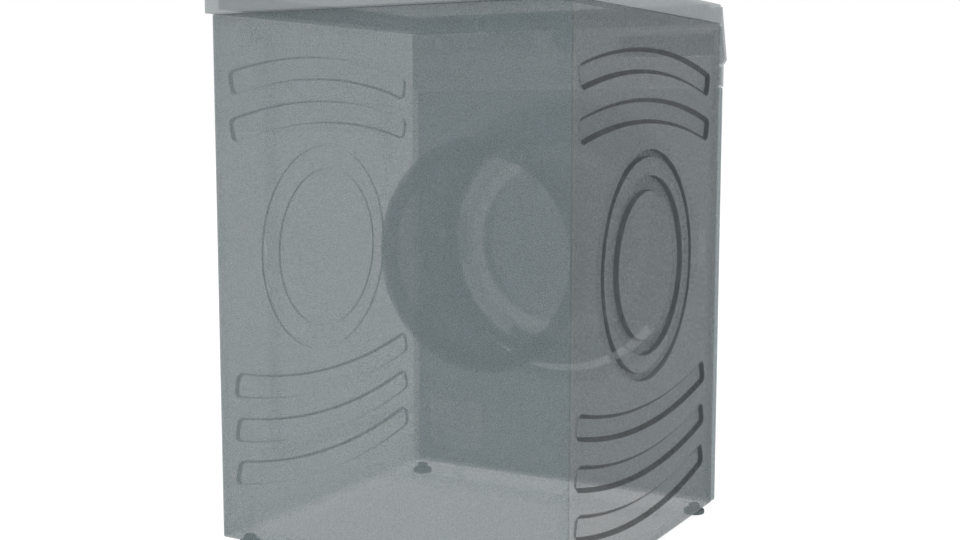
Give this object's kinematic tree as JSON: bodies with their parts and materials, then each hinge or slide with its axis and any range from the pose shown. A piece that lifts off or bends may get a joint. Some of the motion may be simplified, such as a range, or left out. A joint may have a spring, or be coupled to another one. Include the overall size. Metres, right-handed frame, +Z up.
{
  "type": "front-loading washing machine",
  "caption": "Front-loading washing machine with a see-through pressed steel cabinet, round glass door, hung tub and drum, detergent drawer, knob, pump and screw feet.",
  "frame": {"origin": "on the floor, under the middle of the machine's box", "axes": "+X to the right when facing the door, -Y out of the door, +Z up"},
  "size_m": [0.595, 0.616, 0.85],
  "materials": {
    "cabinet_steel": "satin",
    "front_steel": "satin",
    "worktop": "satin",
    "fascia_plastic": "satin",
    "door_plastic": "satin",
    "door_bowl_glass": "gloss",
    "display_glass": "gloss",
    "galvanised_steel": "satin",
    "drum_steel": "satin",
    "tub_plastic": "matte",
    "white_plastic": "satin",
    "dark_plastic": "matte",
    "hose_rubber": "matte",
    "foot_plastic": "matte",
    "concrete": "matte",
    "motor_steel": "satin",
    "circuit_board": "satin"
  },
  "bodies": {
    "cabinet": {"side_panel_left": "cabinet_steel", "side_panel_right": "cabinet_steel", "rear_panel": "cabinet_steel", "front_panel": "front_steel", "front_top_rail": "galvanised_steel", "base_frame": "galvanised_steel", "suspension_crossbars": "galvanised_steel", "top_frame": "worktop", "top_board": "worktop", "control_fascia": "fascia_plastic", "fascia_trim": "fascia_plastic", "foot_locknuts": "galvanised_steel", "door_hinge_bracket": "galvanised_steel", "door_hinge_pin": "galvanised_steel", "door_lock": "dark_plastic", "door_gasket": "hose_rubber", "suspension_springs": "galvanised_steel", "damper_cylinders": "dark_plastic", "pump_housing": "dark_plastic", "sump_hose": "hose_rubber", "drain_hose": "hose_rubber", "inlet_valve": "white_plastic", "inlet_hose": "hose_rubber", "dispenser_housing": "white_plastic", "dispenser_hose": "hose_rubber", "control_board": "circuit_board", "display_window": "display_glass", "mains_gland": "dark_plastic"},
    "foot_front_left": {"foot_front_left": "foot_plastic"},
    "foot_front_right": {"foot_front_right": "foot_plastic"},
    "foot_rear_left": {"foot_rear_left": "foot_plastic"},
    "foot_rear_right": {"foot_rear_right": "foot_plastic"},
    "door": {"door_ring": "door_plastic", "door_inner_ring": "door_plastic", "door_glass": "door_bowl_glass"},
    "handle": {"door_handle": "white_plastic"},
    "latch": {"door_latch": "galvanised_steel"},
    "tub": {"tub_front_half": "tub_plastic", "tub_rear_half": "tub_plastic", "tub_bolts": "galvanised_steel", "bearing_front": "motor_steel", "bearing_rear": "motor_steel", "shaft_seal": "hose_rubber", "counterweight_front": "concrete", "counterweight_top": "concrete", "heater": "motor_steel", "motor_stator": "motor_steel", "damper_rods": "galvanised_steel"},
    "drum": {"drum": "drum_steel", "drum_lifters": "white_plastic", "drum_spider": "motor_steel", "motor_rotor": "motor_steel"},
    "impeller": {"pump_impeller": "white_plastic"},
    "filter": {"pump_filter": "white_plastic"},
    "flap": {"filter_flap": "front_steel"},
    "drawer": {"detergent_drawer": "white_plastic"},
    "knob": {"programme_knob": "white_plastic"},
    "start": {"start_button": "white_plastic"},
    "option_left": {"option_button_left": "white_plastic"},
    "option_right": {"option_button_right": "white_plastic"}
  },
  "joints": [
    {"name": "door_hinge", "type": "hinge", "parent": "cabinet", "child": "door", "pos_m": [-0.25, -0.3, 0.448], "axis": [0, 0, -1], "range_deg": [0, 120]},
    {"name": "handle_pull", "type": "hinge", "parent": "door", "child": "handle", "pos_m": [0.206, -0.301, 0.448], "axis": [0, 0, -1], "range_deg": [0, 20], "stiffness_Nm_per_rad": 0.15, "springref_deg": -5.73},
    {"name": "latch_release", "type": "hinge", "parent": "door", "child": "latch", "pos_m": [0.243, -0.296, 0.448], "axis": [0, 0, 1], "range_deg": [0, 5]},
    {"name": "tub_float", "type": "slide", "parent": "cabinet", "child": "tub", "axis": [0, 0, 1], "range_m": [-0.012, 0.012], "stiffness_N_per_m": 6000, "springref_m": 0.0337, "deforming": ["suspension_springs", "door_gasket", "sump_hose", "dispenser_hose"]},
    {"name": "drum_spin", "type": "hinge", "parent": "tub", "child": "drum", "pos_m": [0, -0.1, 0.448], "axis": [0, 1, 0], "continuous": true},
    {"name": "drawer_slide", "type": "slide", "parent": "cabinet", "child": "drawer", "axis": [0, -1, 0], "range_m": [0, 0.16]},
    {"name": "knob_turn", "type": "hinge", "parent": "cabinet", "child": "knob", "pos_m": [0, -0.28713, 0.80308], "axis": [0, -0.9563, 0.2925], "continuous": true},
    {"name": "start_press", "type": "slide", "parent": "cabinet", "child": "start", "axis": [0, 0.9563, -0.2925], "range_m": [0, 0.002], "stiffness_N_per_m": 400, "springref_m": -0.001},
    {"name": "option_left_press", "type": "slide", "parent": "cabinet", "child": "option_left", "axis": [0, 0.9563, -0.2925], "range_m": [0, 0.002], "stiffness_N_per_m": 400, "springref_m": -0.001},
    {"name": "option_right_press", "type": "slide", "parent": "cabinet", "child": "option_right", "axis": [0, 0.9563, -0.2925], "range_m": [0, 0.002], "stiffness_N_per_m": 400, "springref_m": -0.001},
    {"name": "flap_hinge", "type": "hinge", "parent": "cabinet", "child": "flap", "pos_m": [0.215, -0.281, 0.05], "axis": [1, 0, 0], "range_deg": [0, 95]},
    {"name": "filter_turn", "type": "hinge", "parent": "cabinet", "child": "filter", "pos_m": [0.215, -0.23, 0.085], "axis": [0, -1, 0], "range_deg": [0, 180]},
    {"name": "impeller_spin", "type": "hinge", "parent": "cabinet", "child": "impeller", "pos_m": [0.215, -0.175, 0.085], "axis": [0, 1, 0], "continuous": true},
    {"name": "foot_front_left_turn", "type": "hinge", "parent": "cabinet", "child": "foot_front_left", "pos_m": [-0.272, -0.252, 0.02], "axis": [0, 0, 1], "continuous": true},
    {"name": "foot_front_right_turn", "type": "hinge", "parent": "cabinet", "child": "foot_front_right", "pos_m": [0.272, -0.252, 0.02], "axis": [0, 0, 1], "continuous": true},
    {"name": "foot_rear_left_turn", "type": "hinge", "parent": "cabinet", "child": "foot_rear_left", "pos_m": [-0.272, 0.256, 0.02], "axis": [0, 0, 1], "continuous": true},
    {"name": "foot_rear_right_turn", "type": "hinge", "parent": "cabinet", "child": "foot_rear_right", "pos_m": [0.272, 0.256, 0.02], "axis": [0, 0, 1], "continuous": true}
  ],
  "couplings": [
    {"joint": "latch_release", "follows": "handle_pull", "ratio": 0.25}
  ]
}
